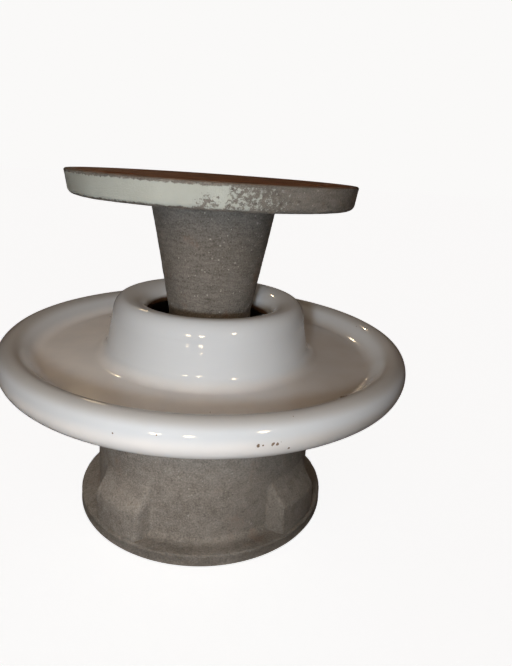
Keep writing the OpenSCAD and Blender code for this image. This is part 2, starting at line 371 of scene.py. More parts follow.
# %% The pin
neck_end = collar_top - 7.3
neck_r = 33.3
neck_fillet = 6
flange_t = 11.7
flange_edge_r = 3
flange_draft = 1
flange_chamfer = 0.6
flange_hole_r = 7.15
hole_wear = 0.5
key_start, key_depth, key_pitch, key_count = 6, 2, 9, 4
flange_z = pin_top - flange_t
fillet_out = neck_r + neck_fillet
edge_in = flange_r - flange_draft - flange_edge_r


def keyed(z, start, pitch, depth):
    """How deep a wavy ring goes in at the height z: depth times half of one minus the cosine."""
    return depth * (1 - np.cos(2 * np.pi * (z - start) / pitch)) / 2


def pin_side():
    """The turned part from the middle of the stem's end up to the fillet under the flange."""
    key_z = np.linspace(0, key_count * key_pitch, 6 * key_count + 1) + pin_end + key_start
    keys = np.column_stack([stem_r - keyed(key_z, key_z[0], key_pitch, key_depth), key_z])
    fillet = bow((fillet_out, flange_z - neck_fillet), neck_fillet, neck_fillet, 171, 90, 0.8)
    return [straight((0, pin_end), (stem_r, pin_end), COARSE), keys,
            straight(keys[-1], (stem_r, neck_end), 2), straight((stem_r, neck_end), fillet[0]), fillet]


def flange_edge():
    """The flange's side: rounded below, a little draft, and a small chamfer above."""
    low = bow((edge_in, flange_z + flange_edge_r), flange_edge_r, flange_edge_r, -90, -5, 0.6)
    return [low, straight(low[-1], (flange_r, pin_top - flange_chamfer)),
            straight((flange_r, pin_top - flange_chamfer), (flange_r - flange_chamfer, pin_top), 0.3)]


PIN_LUMPS = [(0.16, 15, 11), (0.09, 4.5, 12), (0.06, 2, 13)]
pin_pit_depth, pin_pit_w = 0.3, 3.2
flange_sink = 0.15


def pin_relief(points):
    """Sand-cast lumps of three sizes and a few pits, on the neck and, half as high, under the flange. The
    flange's side is sunk a little, so that no lump grows past the CAD box."""
    r, z = np.hypot(points[:, 0], points[:, 1]), points[:, 2]
    hole_x = bolt_r / math.sqrt(2)
    hole = np.hypot(np.abs(points[:, 0]) - hole_x, np.abs(points[:, 1]) - hole_x)
    cast = ramp(z, neck_end - 12, neck_end) * (1 - ramp(z, pin_top - 3, pin_top - 0.7))
    cast = cast * ramp(hole, flange_hole_r + 0.6, flange_hole_r + 2)
    neck = 1 - ramp(z, flange_z - 4, flange_z)
    rough = (0.5 + 0.5 * neck) * skin_of(points, PIN_LUMPS)
    pits = -pin_pit_depth * ramp(lumps(points, pin_pit_w, 14), 0.72, 0.95)
    return cast * (rough + pits - flange_sink * ramp(r, flange_r - 3, flange_r - 1))


PIN_AROUND = 432
worn_r = flange_hole_r + hole_wear
under, way = holed_face(fillet_out, edge_in, flange_z, worn_r, PIN_AROUND, 10)
above, _ = holed_face(fillet_out, edge_in, pin_top, worn_r, PIN_AROUND, 10)
walls = hole_walls(way, [(worn_r, flange_z), (flange_hole_r, flange_z + hole_wear),
                         (flange_hole_r, flange_z + flange_t / 2), (flange_hole_r, pin_top - hole_wear),
                         (worn_r, pin_top)])
top_ring = [straight((flange_r - flange_chamfer, pin_top), (edge_in, pin_top))]
top_disc = [straight((fillet_out, pin_top), (0, pin_top), 2.5)]
pin_grids = [turned(pin_side(), PIN_AROUND), turned(flange_edge(), PIN_AROUND), *under, *above,
             turned(top_ring, PIN_AROUND), turned(top_disc, PIN_AROUND), *walls]
pin = make_piece("iron_pin", pin_grids, pin_relief)
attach(pin, "root")
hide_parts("pin")

# %% [markdown]
# ## The cap
# An iron cup with a round mounting pad. Four bosses stand on the pad against the wall and give the bolts
# their depth. The pad's underside is machined and the bolt holes are tapped; the rest is rough from the
# sand. Seen from the axis, each direction meets the outside once, so the wall with its bosses is still a
# grid of angle and height, with a radius that depends on both. A boss is the lesser of two radii, that of
# its outer face and that of its sides, and the outside is the greater of boss and wall. The two choices are
# softened, which gives the rounded edges and inner fillets that a casting has.

# %% The cap
pad_t = 7
pad_low_chamfer, pad_top_chamfer = 0.8, 1
cap_r = cavity_r + 7.5
foot_fillet = 4
cap_lip = 2.5
boss_w, boss_h, boss_rise, boss_inset, boss_chamfer = 34, 25, 9, 1.5, 2
boss_draft, boss_edge_soft, wall_soft = 0.4, 9, 5
behind_rise, behind_in, least_sine = 4, 6, 0.05
tap_r, tap_depth, thread_pitch, thread_depth = 5.35, 16, 1.95, 0.9
first_row, thread_fade, thread_end, sink_share = 0.6, 1.5, 2, 0.8
tap_mouth_r = tap_r + thread_depth + 0.4
cap_key_start, cap_key_pitch, cap_key_depth, cap_key_count = 1, 10, 2, 3


def greater(a, b, soft):
    """The greater of a and b, with the corner between them rounded over soft mm."""
    near = np.maximum(soft - np.abs(a - b), 0) / soft
    return np.maximum(a, b) + near * near * soft / 4


def lesser(a, b, soft):
    """The lesser of a and b, with the same rounding."""
    return -greater(-a, -b, soft)


def cap_radius(angle, z):
    """Radius of the cap's outside: the wall with its foot fillet, or a boss where that stands further out.
    A boss's side is half its width over the sine of the angle from its middle, which is kept from nought.
    Its face leans in by the draft, turns over the chamfer, and slopes up to the wall and then behind it."""
    rise = np.clip(foot_fillet - (z - pad_t), 0, foot_fillet)
    wall = cap_r + foot_fillet - np.sqrt(foot_fillet ** 2 - rise ** 2)
    off = angle % (np.pi / 2) - np.pi / 4
    side = boss_w / 2 / np.maximum(np.abs(np.sin(off)), least_sine)
    face = pad_r - boss_inset
    top = boss_h + boss_rise
    outer = np.interp(z, [pad_t, boss_h - boss_chamfer, boss_h, top, top + behind_rise],
                      [face, face - boss_draft, face - boss_chamfer, cap_r, cap_r - behind_in])
    return greater(wall, lesser(outer, side, boss_edge_soft), wall_soft)


def cap_outside(around):
    """The ledge from the pad's edge in to the wall and bosses, then the wall up to the lip, as one grid."""
    a = angles(around)
    z = np.concatenate([np.linspace(pad_t, pad_t + foot_fillet, 9)[:-1],
                        straight((0, pad_t + foot_fillet), (0, cap_top - cap_lip), 0.9)[:, 1]])
    wall_z, wall_a = np.meshgrid(z, a, indexing="ij")
    wall_r = cap_radius(wall_a, wall_z)
    edge = pad_r - pad_top_chamfer
    share = np.linspace(0, 1, 9)[:-1, None]
    ledge_r = edge + (wall_r[0] - edge) * share
    r = np.concatenate([ledge_r, wall_r])
    z = np.concatenate([np.full_like(ledge_r, pad_t), wall_z])
    return np.stack([r * np.cos(a), r * np.sin(a), z], axis=-1)


def cap_inside():
    """From the lip over the open edge, down the keyed cavity and to the middle of its floor."""
    lip = bow((cap_r - cap_lip, cap_top - cap_lip), cap_lip, cap_lip, 0, 90, 0.6)
    keys_low = cavity_floor + crown_round + cap_key_start
    key_z = keys_low + np.linspace(cap_key_count * cap_key_pitch, 0, 6 * cap_key_count + 1)
    keys = np.column_stack([cavity_r + keyed(key_z, keys_low, cap_key_pitch, cap_key_depth), key_z])
    corner = bow((cavity_r - crown_round, cavity_floor + crown_round), crown_round, crown_round, 0, -90, 3)
    return [lip, straight(lip[-1], (cavity_r, cap_top)), straight((cavity_r, cap_top), keys[0]), keys,
            straight(keys[-1], corner[0]), corner, straight(corner[-1], (0, cavity_floor), COARSE)]


def tapped_rows(way):
    """Rows of a tapped hole, from its countersunk mouth up to the drill point. The thread is a cosine of
    height over pitch less angle over a full turn, so it climbs once round for each pitch, and fades at both
    ends. Five rows make one pitch."""
    angle = np.arctan2(way[:, 1], way[:, 0])
    rows = [(tap_mouth_r, 0)]
    for z in np.arange(first_row, tap_depth - 1, thread_pitch / 5):
        wave = (1 + np.cos(2 * np.pi * z / thread_pitch - angle)) / 2
        started = ramp(z, 0, thread_fade)
        ended = ramp(z, tap_depth - 2 * thread_end, tap_depth - thread_end)
        countersink = (1 - started) * sink_share
        rows.append((tap_r + thread_depth * (wave * (started * (1 - ended)) + countersink), z))
    return [*rows, (tap_r, tap_depth - 1), (0, tap_depth)]


CAP_LUMPS = [(0.28, 19, 21), (0.13, 6, 22), (0.10, 2.4, 23)]
cap_pit_depth, cap_pit_w = 0.4, 4
pad_sink = 0.3


def cap_relief(points):
    """Sand-cast lumps outside, higher than the pin's, and pits. The machined underside of the pad and the
    cavity stay true, and the pad's side is sunk a little, so that no lump grows past the CAD box."""
    r, z = np.hypot(points[:, 0], points[:, 1]), points[:, 2]
    cast = ramp(z, 0.3, 2.5) * ramp(r, cavity_r + 0.5, cavity_r + 3)
    pits = -cap_pit_depth * ramp(lumps(points, cap_pit_w, 24), 0.7, 0.95)
    return cast * (skin_of(points, CAP_LUMPS) + pits - pad_sink * ramp(r, pad_r - 3, pad_r - 1))


CAP_AROUND = 464
bottom, tap_way = holed_face(0, pad_r - pad_low_chamfer, 0, tap_mouth_r, CAP_AROUND, 7)
pad_edge = [straight((pad_r - pad_low_chamfer, 0), (pad_r, pad_low_chamfer), 0.5),
            straight((pad_r, pad_low_chamfer), (pad_r, pad_t - pad_top_chamfer), 0.9),
            straight((pad_r, pad_t - pad_top_chamfer), (pad_r - pad_top_chamfer, pad_t), 0.5)]
cap_grids = [*bottom, *hole_walls(tap_way, tapped_rows(tap_way)), turned(pad_edge, CAP_AROUND),
             cap_outside(CAP_AROUND), turned(cap_inside(), CAP_AROUND)]
cap = make_piece("iron_cap", cap_grids, cap_relief)
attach(cap, "root")
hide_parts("cap")

# %% [markdown]
# ## Finishes
# Each finish is a small network of nodes. Colours are written as sRGB hex values, as a paint chart gives
# them, and one function turns them into the linear numbers that Blender counts light with. A pattern's
# scale is the number of its features in a metre, so it is worked out from the size of the real grain in
# millimetres. Patterns read Object coordinates, which stay with the piece however it moves.
# Sockets are called by number. A Math node has 0, 1 and 2. Map Range has the value, the two ends it comes
# from and the two it goes to, as 0 to 4. Mix has its share at 0, two numbers at 2 and 3, and two colours at
# 6 and 7.

# %% Colour, scale and nodes
def colour(code):
    """Linear colour of an sRGB hex code: c/12.92 up to 0.04045, else ((c+0.055)/1.055) to the power 2.4."""
    c = np.array([int(code[i:i + 2], 16) for i in (0, 2, 4)]) / 255
    return (*np.where(c <= 0.04045, c / 12.92, ((c + 0.055) / 1.055) ** 2.4).tolist(), 1.0)


def per_metre(size):
    """How many features of this size in mm stand side by side in a metre."""
    return 1000 / size


def add(tree, kind, sockets=None, **settings):
    """Adds one shader node. A socket gets either a value or, if it is given another node's output, a link.
    Settings are the node's own choices. Returns the node's outputs."""
    node = tree.nodes.new("ShaderNode" + kind)
    for name, value in settings.items():
        setattr(node, name, value)
    for name, value in (sockets or {}).items():
        if isinstance(value, bpy.types.NodeSocket):
            tree.links.new(value, node.inputs[name])
        else:
            node.inputs[name].default_value = value
    return node.outputs


def start_finish(name):
    """A new material with its tree, its Object coordinates, and their X, Y and Z in metres."""
    material = bpy.data.materials.new(name)
    material.use_nodes = True
    tree = material.node_tree
    tree.nodes.clear()
    where = add(tree, "TexCoord")["Object"]
    return material, tree, where, add(tree, "SeparateXYZ", {0: where})


def end_finish(material, tree, base, rough, height, depth, **constant):
    """The surface shader and its output. The bump raises height by up to depth mm. Constants go on the
    shader's own sockets."""
    bump = add(tree, "Bump", {"Height": height, "Distance": depth * MM})[0]
    skin = {"Base Color": base, "Roughness": rough, "Normal": bump, **constant}
    surface = add(tree, "BsdfPrincipled", skin)[0]
    add(tree, "OutputMaterial", {"Surface": surface})
    print(f"{material.name}: {len(tree.nodes)} nodes")
    return material


def axis_distance(tree, where):
    """Distance from the axis: the length of the point's X and Y."""
    flat = add(tree, "VectorMath", {0: where, 1: (1, 1, 0)}, operation="MULTIPLY")[0]
    return add(tree, "VectorMath", {0: flat}, operation="LENGTH")["Value"]


SOFT = {"interpolation_type": "SMOOTHSTEP"}
PAINT = {"data_type": "RGBA"}

# %% [markdown]
# ### Glaze
# A pale grey feldspar glaze over white porcelain, fired until it is glass. It is smooth enough to mirror
# lamps, and its colour comes from below the gloss. Its tone drifts a little over some centimetres.
# Years outdoors have left a film of dust in the dish, where water stands. Its colour also holds painted
# light
# and shade: it is paler on the left of the dish and darker on the right. Along the rim's crest a grey film
# is painted shade on the rim's top. Each is a share from 0 to 1, worked out from the height and the distance
# from the axis, and the dust is broken up by noise.

# %% Tone, dust with painted light and shade, and painted shade on the crest
cloud_w = 55
dust_depth = 5


def glaze_dust_and_shade(tree, where, xyz, from_axis, film):
    """Colour of the glaze under its dust, with painted light and shade in the dish and painted shade on the
    rim's crest, and the share of dust.
    """
    tone = add(tree, "TexNoise", {"Vector": where, "Scale": per_metre(cloud_w), "Detail": 2.0})[0]
    base = add(tree, "Mix", {0: tone, 6: colour("D0D3D6"), 7: colour("C7C9CA")}, **PAINT)[2]
    deep = {0: xyz[2], 1: (dish_z + dust_depth) * MM, 2: (dish_z - 0.5) * MM}
    deep = add(tree, "MapRange", deep, **SOFT)[0]
    dust_and_shade_share = add(tree, "Math", {0: deep, 1: film}, operation="MULTIPLY")[0]
    # Painted light and shade: the dust in the dish is paler on its left and darker on its right
    side = add(tree, "MapRange", {0: xyz[0], 1: -10 * MM, 2: 70 * MM}, **SOFT)[0]
    dish_dust_and_shade = add(tree, "Mix", {0: side, 6: colour("F0EAE4"), 7: colour("B9B1A9")}, **PAINT)[2]
    base = add(tree, "Mix", {0: dust_and_shade_share, 6: base, 7: dish_dust_and_shade}, **PAINT)[2]
    # Painted shade: the rim's crest is made greyer on its top
    crest_shade = {0: xyz[2], 1: (rim_top - 4.5) * MM, 2: (rim_top - 0.5) * MM, 4: 0.75}
    crest_shade = add(tree, "MapRange", crest_shade, **SOFT)[0]
    on_rim = add(tree, "MapRange", {0: from_axis, 1: (crest_r - 14) * MM, 2: (crest_r - 8) * MM}, **SOFT)[0]
    crest_shade = add(tree, "Math", {0: crest_shade, 1: on_rim}, operation="MULTIPLY")[0]
    return add(tree, "Mix", {0: crest_shade, 6: base, 7: colour("A9A49E")}, **PAINT)[2], dust_and_shade_share


# %% [markdown]
# Iron in the clay burns through a glaze as brown specks. The small ones, up to a millimetre wide, are
# scattered: a Voronoi pattern has one point in each cell, and one cell in 25 gets a speck around it. The
# larger ones sit in clusters, so their places are listed. Noise makes their edges ragged.

# %% Specks
speck_cell_w, ragged_w = 4.5, 0.9
speck_share, speck_size, speck_reach = 0.96, 0.11, 1.6
# Place and radius in mm of the larger specks. The two largest are chips at the edge of the dish
SPECKS = [((12, -113, 94), 0.8), ((14, -113, 94), 0.5), ((18, -112, 94), 0.9), ((20, -112, 94), 0.8),
          ((21.5, -112, 94.5), 0.5), ((25, -110, 91), 0.7), ((26, -49, 116), 0.8), ((32, -57, 94.5), 1.1),
          ((61, -69, 94), 1.8), ((63, -68, 94), 1.2), ((-44, -105, 96), 0.6), ((-22, -112, 97), 0.5)]


def iron_specks(tree, where):
    """1 in a speck and 0 elsewhere. A listed speck reaches as far as its radius times speck_reach times a
    noise around 0.5."""
    cell = add(tree, "TexVoronoi", {"Vector": where, "Scale": per_metre(speck_cell_w)})
    pick = add(tree, "SeparateColor", {0: cell["Color"]})
    size = add(tree, "Math", {0: pick[1], 1: speck_size}, operation="MULTIPLY")[0]
    inside = add(tree, "Math", {0: size, 1: cell["Distance"]}, operation="GREATER_THAN")[0]
    chosen = add(tree, "Math", {0: pick[0], 1: speck_share}, operation="GREATER_THAN")[0]
    specks = add(tree, "Math", {0: inside, 1: chosen}, operation="MULTIPLY")[0]
    ragged = add(tree, "TexNoise", {"Vector": where, "Scale": per_metre(ragged_w), "Detail": 2.0})[0]
    for place, radius in SPECKS:
        middle = [v * MM for v in place]
        apart = add(tree, "VectorMath", {0: where, 1: middle}, operation="DISTANCE")["Value"]
        limit = add(tree, "Math", {0: ragged, 1: speck_reach * radius * MM}, operation="MULTIPLY")[0]
        spot = add(tree, "Math", {0: limit, 1: apart}, operation="GREATER_THAN")[0]
        specks = add(tree, "Math", {0: specks, 1: spot}, operation="MAXIMUM")[0]
    return specks


# %% [markdown]
# The collar's mouth is painted with shade, brown near the lip and black further down, where the front lip's
# shadow falls. Its edge follows a level that is tilted a little and broken up by noise.

# %% Painted shade in the mouth
shade_start, brown_shade_full, black_shade_full = 5.5, 8, 10.5
shade_tilt, shade_rag = 0.05, 3


def painted_mouth_shade(tree, base, xyz, from_axis, film):
    """The glaze's colour with painted shade over it, where the point is inside the lip and low enough. The
    three depths are below the collar's top, in mm."""
    inner = add(tree, "Math", {0: (lip_r - 2) * MM, 1: from_axis}, operation="GREATER_THAN")[0]
    level = add(tree, "Math", {0: xyz[0], 1: shade_tilt, 2: xyz[2]}, operation="MULTIPLY_ADD")[0]
    level = add(tree, "Math", {0: film, 1: shade_rag * MM, 2: level}, operation="MULTIPLY_ADD")[0]
    # Painted shade, brown and then black, deeper into the mouth
    for start, full, code in ((shade_start, brown_shade_full, "5A4434"), (brown_shade_full, black_shade_full, "14110F")):
        ends = {1: (collar_top - start) * MM, 2: (collar_top - full) * MM}
        share = add(tree, "MapRange", {0: level, **ends}, **SOFT)[0]
        share = add(tree, "Math", {0: share, 1: inner}, operation="MULTIPLY")[0]
        base = add(tree, "Mix", {0: share, 6: base, 7: colour(code)}, **PAINT)[2]
    return base


# %% [markdown]
# The finish joins these layers. The roughness is that of glass, 0.05 to 0.12 where it has been rubbed, and
# dust adds a little. The bump is the slight unevenness of a glaze that has run, some millimetres wide.

# %% Glazed porcelain
film_w, rub_w, run_w = 14, 22, 7
dust_dullness = 0.07


def glazed_porcelain():
    """Near-white glaze with dust and painted light and shade in the dish, painted shade on the rim's crest,
    brown specks, painted shade in the mouth and soft waves.
    """
    material, tree, where, xyz = start_finish("glazed_porcelain")
    from_axis = axis_distance(tree, where)
    film = add(tree, "TexNoise", {"Vector": where, "Scale": per_metre(film_w), "Detail": 6.0})[0]
    film = add(tree, "MapRange", {0: film, 3: 0.4, 4: 1.0})[0]
    base, dust_and_shade_share = glaze_dust_and_shade(tree, where, xyz, from_axis, film)
    base = add(tree, "Mix", {0: iron_specks(tree, where), 6: base, 7: colour("7A6858")}, **PAINT)[2]
    base = painted_mouth_shade(tree, base, xyz, from_axis, film)
    rub = {"Vector": where, "Scale": per_metre(rub_w), "Detail": 8.0, "Roughness": 0.65}
    rub = add(tree, "TexNoise", rub)[0]
    rough = add(tree, "MapRange", {0: rub, 1: 0.3, 2: 0.75, 3: 0.05, 4: 0.12})[0]
    rough = add(tree, "Math", {0: dust_and_shade_share, 1: dust_dullness, 2: rough}, operation="MULTIPLY_ADD")[0]
    waves = add(tree, "TexNoise", {"Vector": where, "Scale": per_metre(run_w), "Detail": 2.0})[0]
    return end_finish(material, tree, base, rough, waves, 0.03, IOR=1.52)


porcelain.data.materials.append(glazed_porcelain())

# %% [markdown]
# ### Cast iron
# Grey iron cast in sand keeps the sand's grain, and outdoors it turns a flat grey-brown: a thin, tight
# rust, with dirt and cement dust in it. It has no metal shine left, so it is shaded as a dull solid. Three
# sizes of detail matter to the eye: patches of tone some centimetres wide, blotches of a few millimetres,
# and the sand's grain of about one millimetre, which both the colour and the bump show. Pale grains of
# cement and sand stick to it.

# %% Sand-cast iron
patch_w, blotch_w, rust_w = 38, 6, 24
pale_grain_w, pit_w = 1.7, 2.6
grain_size = 0.34


def pale_grains(tree, where, blotch, pale_place, pale_reach):
    """Share of pale grain at a point. Half of the Voronoi cells hold a grain at pale_place, and one in 14
    from pale_reach mm on. A grain's radius is up to a third of its cell, and dark blotches make it faint."""
    middle = [v * MM for v in pale_place]
    apart = add(tree, "VectorMath", {0: where, 1: middle}, operation="DISTANCE")["Value"]
    rare = add(tree, "MapRange", {0: apart, 1: 0.0, 2: pale_reach * MM, 3: 0.5, 4: 0.93})[0]
    cell = add(tree, "TexVoronoi", {"Vector": where, "Scale": per_metre(pale_grain_w)})
    pick = add(tree, "SeparateColor", {0: cell["Color"]})
    chosen = add(tree, "Math", {0: pick[0], 1: rare}, operation="GREATER_THAN")[0]
    size = add(tree, "Math", {0: pick[1], 1: grain_size}, operation="MULTIPLY")[0]
    inside = add(tree, "Math", {0: size, 1: cell["Distance"]}, operation="GREATER_THAN")[0]
    grains = add(tree, "Math", {0: chosen, 1: inside}, operation="MULTIPLY")[0]
    return add(tree, "Math", {0: grains, 1: blotch}, operation="MULTIPLY")[0]


def cast_iron(name, pale, dark, grain, drag, pale_place, pale_reach):
    """Weathered iron between a pale and a dark tone. Grain is the sand's size in mm. Blotches are drag times
    as long sideways as upwards. Pale grains lie all over, and most thickly within pale_reach mm of
    pale_place."""
    material, tree, where, xyz = start_finish(name)
    patch = add(tree, "TexNoise", {"Vector": where, "Scale": per_metre(patch_w), "Detail": 3.0})[0]
    drawn = add(tree, "Mapping", {0: where, 3: (1, 1, drag)}, vector_type="POINT")[0]
    blotch = {"Vector": drawn, "Scale": per_metre(blotch_w), "Detail": 6.0, "Roughness": 0.65}
    blotch = add(tree, "TexNoise", blotch)[0]
    sand = {"Vector": where, "Scale": per_metre(grain), "Detail": 3.0, "Roughness": 0.7}
    sand = add(tree, "TexNoise", sand)[0]
    # The tone is the sum of the three sizes, and the sand counts most
    tone = add(tree, "Math", {0: patch, 1: 0.8, 2: blotch}, operation="MULTIPLY_ADD")[0]
    tone = add(tree, "Math", {0: sand, 1: 1.7, 2: tone}, operation="MULTIPLY_ADD")[0]
    tone = add(tree, "MapRange", {0: tone, 1: 0.98, 2: 2.5}, **SOFT)[0]
    base = add(tree, "Mix", {0: tone, 6: colour(dark), 7: colour(pale)}, **PAINT)[2]
    # Rust in patches, then the pale grains, then dark pits
    rust = {"Vector": where, "Scale": per_metre(rust_w), "Detail": 9.0, "Roughness": 0.72}
    rust = add(tree, "TexNoise", rust)[0]
    rust = add(tree, "MapRange", {0: rust, 1: 0.56, 2: 0.74, 4: 0.5}, **SOFT)[0]
    base = add(tree, "Mix", {0: rust, 6: base, 7: colour("7A5238")}, **PAINT)[2]
    grains = pale_grains(tree, where, blotch, pale_place, pale_reach)
    base = add(tree, "Mix", {0: grains, 6: base, 7: colour("C6C1B7")}, **PAINT)[2]
    pit = {"Vector": where, "Scale": per_metre(pit_w), "Detail": 3.0, "Roughness": 0.7}
    pit = add(tree, "TexNoise", pit)[0]
    pit = add(tree, "MapRange", {0: pit, 1: 0.6, 2: 0.7, 4: 0.6}, **SOFT)[0]
    base = add(tree, "Mix", {0: pit, 6: base, 7: colour(dark)}, **PAINT)[2]
    height = add(tree, "Math", {0: sand, 1: blotch}, operation="ADD")[0]
    return material, tree, where, xyz, base, height, sand


# %% [markdown]
# One side of the cap is painted darker, as painted shade, and so are the lowest few millimetres of the pad,
# as painted shade under the shed. Both are again a share worked out from the place, and both are laid over
# the iron's own tone.

# %% The cap's iron
foot_shade_h = 10


def cap_iron():
    """Pale cast iron, with painted shade on one side and along the foot."""
    material, tree, _, xyz, base, height, sand = cast_iron(
        "sand_cast_iron_cap", "B4ACA2", "635C54", 0.9, 1, (0, -62, 62), 38)
    # Painted shade: darker towards +X, and darker on the lowest millimetres of the foot
    cap_shaded_side = add(tree, "MapRange", {0: xyz[0], 1: -25 * MM, 2: 62 * MM, 4: 0.55}, **SOFT)[0]
    base = add(tree, "Mix", {0: cap_shaded_side, 6: base, 7: colour("4A4741")}, **PAINT)[2]
    foot = add(tree, "MapRange", {0: xyz[2], 1: foot_shade_h * MM, 2: foot_shade_h / 2 * MM, 4: 0.3}, **SOFT)[0]
    base = add(tree, "Mix", {0: foot, 6: base, 7: colour("4A4741")}, **PAINT)[2]
    rough = add(tree, "MapRange", {0: sand, 1: 0.2, 2: 0.8, 3: 0.62, 4: 0.88})[0]
    return end_finish(material, tree, base, rough, height, 0.5)


cap.data.materials.append(cap_iron())

# %% [markdown]
# ### Old paint on the flange
# The flange's side was painted a pale grey green. Half of it is left: whole on one side, then a band where
# it has flaked to specks, then bare iron. Its edge is ragged above and below, where the flange was handled.
# The paint is a share from 0 to 1, so it needs no picture: how whole it is at this X, less a noise of the
# size of a flake, is turned into a sharp edge. Then it is cut off above, below and away from the flange's
# side.

# %% What is left of the paint
rag_w, flake_w = 3, 1.6
rag_h = 3.6
chip_place = (-9, -flange_r, flange_z + 0.5)


def kept_paint(tree, where, xyz, from_axis, rag):
    """Share of paint. Along X it is whole left of the middle, flakes away over 5 cm, and has gone beyond.
    One large chip is missing at the lower edge."""
    flake = {"Vector": where, "Scale": per_metre(flake_w), "Detail": 4.0, "Roughness": 0.8}
    flake = add(tree, "TexNoise", flake)[0]
    worn = add(tree, "MapRange", {0: xyz[0], 1: -2 * MM, 2: 46 * MM, 3: 0.545, 4: 0.30})[0]
    intact = add(tree, "MapRange", {0: xyz[0], 1: 0.5 * MM, 2: -2.5 * MM, 4: 0.24})[0]
    whole = add(tree, "Math", {0: worn, 1: intact}, operation="ADD")[0]
    middle = [v * MM for v in chip_place]
    apart = add(tree, "VectorMath", {0: where, 1: middle}, operation="DISTANCE")["Value"]
    chipped = add(tree, "MapRange", {0: apart, 1: 12 * MM, 2: 3 * MM, 4: 0.3}, **SOFT)[0]
    whole = add(tree, "Math", {0: whole, 1: chipped}, operation="SUBTRACT")[0]
    kept = add(tree, "Math", {0: whole, 1: flake}, operation="SUBTRACT")[0]
    kept = add(tree, "MapRange", {0: kept, 1: -0.02, 2: 0.03})[0]
    edge = add(tree, "Math", {0: rag, 1: rag_h * MM}, operation="MULTIPLY")[0]
    high = add(tree, "Math", {0: xyz[2], 1: edge}, operation="ADD")[0]
    high = add(tree, "MapRange", {0: high, 1: (pin_top + 0.5) * MM, 2: (pin_top + 0.1) * MM})[0]
    low = add(tree, "Math", {0: xyz[2], 1: edge}, operation="SUBTRACT")[0]
    low = add(tree, "MapRange", {0: low, 1: (flange_z - 0.9) * MM, 2: (flange_z - 0.5) * MM})[0]
    side = add(tree, "Math", {0: from_axis, 1: (edge_in + 0.8) * MM}, operation="GREATER_THAN")[0]
    for share in (high, low, side):
        kept = add(tree, "Math", {0: kept, 1: share}, operation="MULTIPLY")[0]
    return kept


# %% [markdown]
# The flange's top was faced on a lathe and has rusted thinly, so the tool's rings still show through the
# brown. Real rings are some tenths of a millimetre apart. They are drawn 1.5 mm apart, or they wouldn't
# show. Hands and washers have rubbed it bare along the edge and where the rust was thin.

# %% The rusted top
rust_film_w, lathe_pitch = 16, 1.5


def rusted_top(tree, where, from_axis, rag):
    """Colour of the faced top and its height: a sine of the distance from the axis, and the rust's film."""
    film = {"Vector": where, "Scale": per_metre(rust_film_w), "Detail": 9.0, "Roughness": 0.7}
    film = add(tree, "TexNoise", film)[0]
    film = add(tree, "MapRange", {0: film, 1: 0.35, 2: 0.65}, **SOFT)[0]
    rust = add(tree, "Mix", {0: film, 6: colour("6B432B"), 7: colour("9C6843")}, **PAINT)[2]
    turn = 2 * math.pi / (lathe_pitch * MM)
    ring = add(tree, "Math", {0: from_axis, 1: turn}, operation="MULTIPLY")[0]
    ring = add(tree, "Math", {0: ring}, operation="SINE")[0]
    groove = add(tree, "MapRange", {0: ring, 1: 0.2, 2: 1.0, 4: 0.3}, **SOFT)[0]
    rust = add(tree, "Mix", {0: groove, 6: rust, 7: colour("42291C")}, **PAINT)[2]
    rubbed = {0: from_axis, 1: (flange_r - 7) * MM, 2: (flange_r - 1) * MM, 4: 0.3}
    rubbed = add(tree, "MapRange", rubbed, **SOFT)[0]
    rubbed = add(tree, "Math", {0: rubbed, 1: rag}, operation="ADD")[0]
    rubbed = add(tree, "MapRange", {0: rubbed, 1: 0.6, 2: 0.72, 4: 0.8}, **SOFT)[0]
    rust = add(tree, "Mix", {0: rubbed, 6: rust, 7: colour("665C53")}, **PAINT)[2]
    return rust, add(tree, "Math", {0: ring, 1: 0.2, 2: film}, operation="MULTIPLY_ADD")[0]


# %% [markdown]
# The pin's finish joins the dark cast iron, the rusted top and the paint. Paint is smoother than iron and
# stands a little above it, so its share also goes into the roughness and the bump.

# %% The pin's iron
stain_w = 12
paint_h, paint_rough = 0.35, 0.45


def pin_iron():
    """Dark cast iron, pale paint on the flange's side, and a rusted lathe-turned top."""
    material, tree, where, xyz, base, height, sand = cast_iron(
        "sand_cast_iron_pin", "958F87", "45413C", 0.8, 4, (6, -30, 150), 32)
    from_axis = axis_distance(tree, where)
    rag = {"Vector": where, "Scale": per_metre(rag_w), "Detail": 7.0, "Roughness": 0.75}
    rag = add(tree, "TexNoise", rag)[0]
    kept = kept_paint(tree, where, xyz, from_axis, rag)
    stain = add(tree, "TexNoise", {"Vector": where, "Scale": per_metre(stain_w), "Detail": 6.0})[0]
    paint = add(tree, "Mix", {0: stain, 6: colour("BBC0B9"), 7: colour("A6A89F")}, **PAINT)[2]
    base = add(tree, "Mix", {0: kept, 6: base, 7: paint}, **PAINT)[2]
    on_top = add(tree, "Math", {0: xyz[2], 1: (pin_top - 0.35) * MM}, operation="GREATER_THAN")[0]
    rust, faced = rusted_top(tree, where, from_axis, rag)
    base = add(tree, "Mix", {0: on_top, 6: base, 7: rust}, **PAINT)[2]
    height = add(tree, "Mix", {0: on_top, 2: height, 3: faced})[0]
    height = add(tree, "Math", {0: kept, 1: paint_h, 2: height}, operation="MULTIPLY_ADD")[0]
    rough = add(tree, "MapRange", {0: sand, 1: 0.2, 2: 0.8, 3: 0.6, 4: 0.85})[0]
    rough = add(tree, "Mix", {0: kept, 2: rough, 3: paint_rough})[0]
    return end_finish(material, tree, base, rough, height, 0.4)


pin.data.materials.append(pin_iron())

# %% [markdown]
# ### The hidden pieces
# Cement is sand and grey paste, so it is grainy and dull. Bitumen is a black tar that was brushed on, with
# brush ridges and a dull gloss. Cork is pressed from brown granules. The grit bands are crushed porcelain
# fused on with glaze, so they are rough but shine in points. Each is one network with its own colours and
# grain.

# %% Cement, bitumen, cork and grit
paste_w, brush_w, brush_drag = 9, 4, 5


